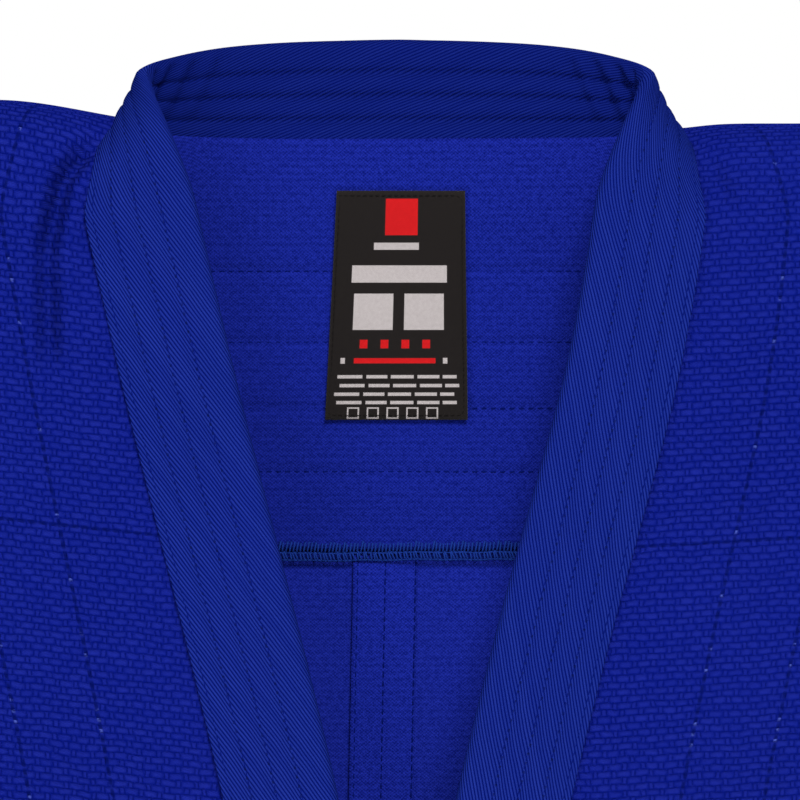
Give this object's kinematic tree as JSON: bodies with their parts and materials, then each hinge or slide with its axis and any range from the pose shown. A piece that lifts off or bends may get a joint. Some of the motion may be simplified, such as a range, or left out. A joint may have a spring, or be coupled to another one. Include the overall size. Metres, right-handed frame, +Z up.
{
  "type": "judo jacket",
  "caption": "Hip-length judo jacket with a thick quilted lapel, rice-grain weave body, wide sleeves and side vents, hung open on a straight bar.",
  "frame": {"origin": "middle of the line on which the shoulders rest on the hanging bar", "axes": "+Z up, +Y to the back of the jacket, +X to the wearer's left along the bar"},
  "size_m": [1.56, 0.135, 0.7774],
  "materials": {
    "rice_weave": "matte blue rice-grain cotton weave",
    "lapel_twill": "matte blue diagonal twill, quilted in rows",
    "lining_cloth": "matte blue plain cotton weave",
    "skirt_cloth": "matte blue diamond-stitched cotton",
    "seam_thread": "blue overlock thread with a slight sheen",
    "core_cloth": "undyed cotton filler cloth",
    "label_weave": "black woven label with plain marks"
  },
  "bodies": {
    "torso": {"back_panel": "rice_weave", "back_skirt": "skirt_cloth", "yoke_lining": "lining_cloth", "overlock_seam": "seam_thread", "centre_back_strip": "lining_cloth", "neck_label": "label_weave", "collar": "lapel_twill", "collar_core": "core_cloth", "left_shoulder_front": "rice_weave", "right_shoulder_front": "rice_weave", "left_underarm_gusset": "rice_weave", "right_underarm_gusset": "rice_weave", "left_vent_patch": "rice_weave", "right_vent_patch": "rice_weave"},
    "tail": {"back_tail": "skirt_cloth"},
    "left_front": {"left_front_panel": "rice_weave", "left_front_skirt": "skirt_cloth", "left_lapel": "lapel_twill", "left_lapel_core": "core_cloth", "left_front_facing": "lining_cloth"},
    "left_sleeve": {"left_upper_sleeve": "rice_weave"},
    "left_forearm": {"left_lower_sleeve": "rice_weave", "left_cuff_hem": "rice_weave"},
    "right_front": {"right_front_panel": "rice_weave", "right_front_skirt": "skirt_cloth", "right_lapel": "lapel_twill", "right_lapel_core": "core_cloth", "right_front_facing": "lining_cloth"},
    "right_sleeve": {"right_upper_sleeve": "rice_weave"},
    "right_forearm": {"right_lower_sleeve": "rice_weave", "right_cuff_hem": "rice_weave"}
  },
  "joints": [
    {"name": "left_front_opens", "type": "hinge", "parent": "torso", "child": "left_front", "pos_m": [0.12639, -0.02864, -0.03606], "axis": [-0.3016, 0.0505, 0.9521], "range_deg": [0, 70]},
    {"name": "left_sleeve_folds", "type": "hinge", "parent": "torso", "child": "left_sleeve", "pos_m": [0.29, -0.04, 0], "axis": [0, 0, -1], "range_deg": [0, 70]},
    {"name": "left_elbow_folds", "type": "hinge", "parent": "left_sleeve", "child": "left_forearm", "pos_m": [0.54, -0.0354, 0], "axis": [0, 0, -1], "range_deg": [0, 80]},
    {"name": "right_front_opens", "type": "hinge", "parent": "torso", "child": "right_front", "pos_m": [-0.12639, -0.02864, -0.03606], "axis": [-0.3016, -0.0505, -0.9521], "range_deg": [0, 70]},
    {"name": "right_sleeve_folds", "type": "hinge", "parent": "torso", "child": "right_sleeve", "pos_m": [-0.29, -0.04, 0], "axis": [0, 0, 1], "range_deg": [0, 70]},
    {"name": "right_elbow_folds", "type": "hinge", "parent": "right_sleeve", "child": "right_forearm", "pos_m": [-0.54, -0.0354, 0], "axis": [0, 0, 1], "range_deg": [0, 80]},
    {"name": "tail_lifts", "type": "hinge", "parent": "torso", "child": "tail", "pos_m": [0, 0.05538, -0.54], "axis": [1, 0, 0], "range_deg": [0, 70]}
  ]
}
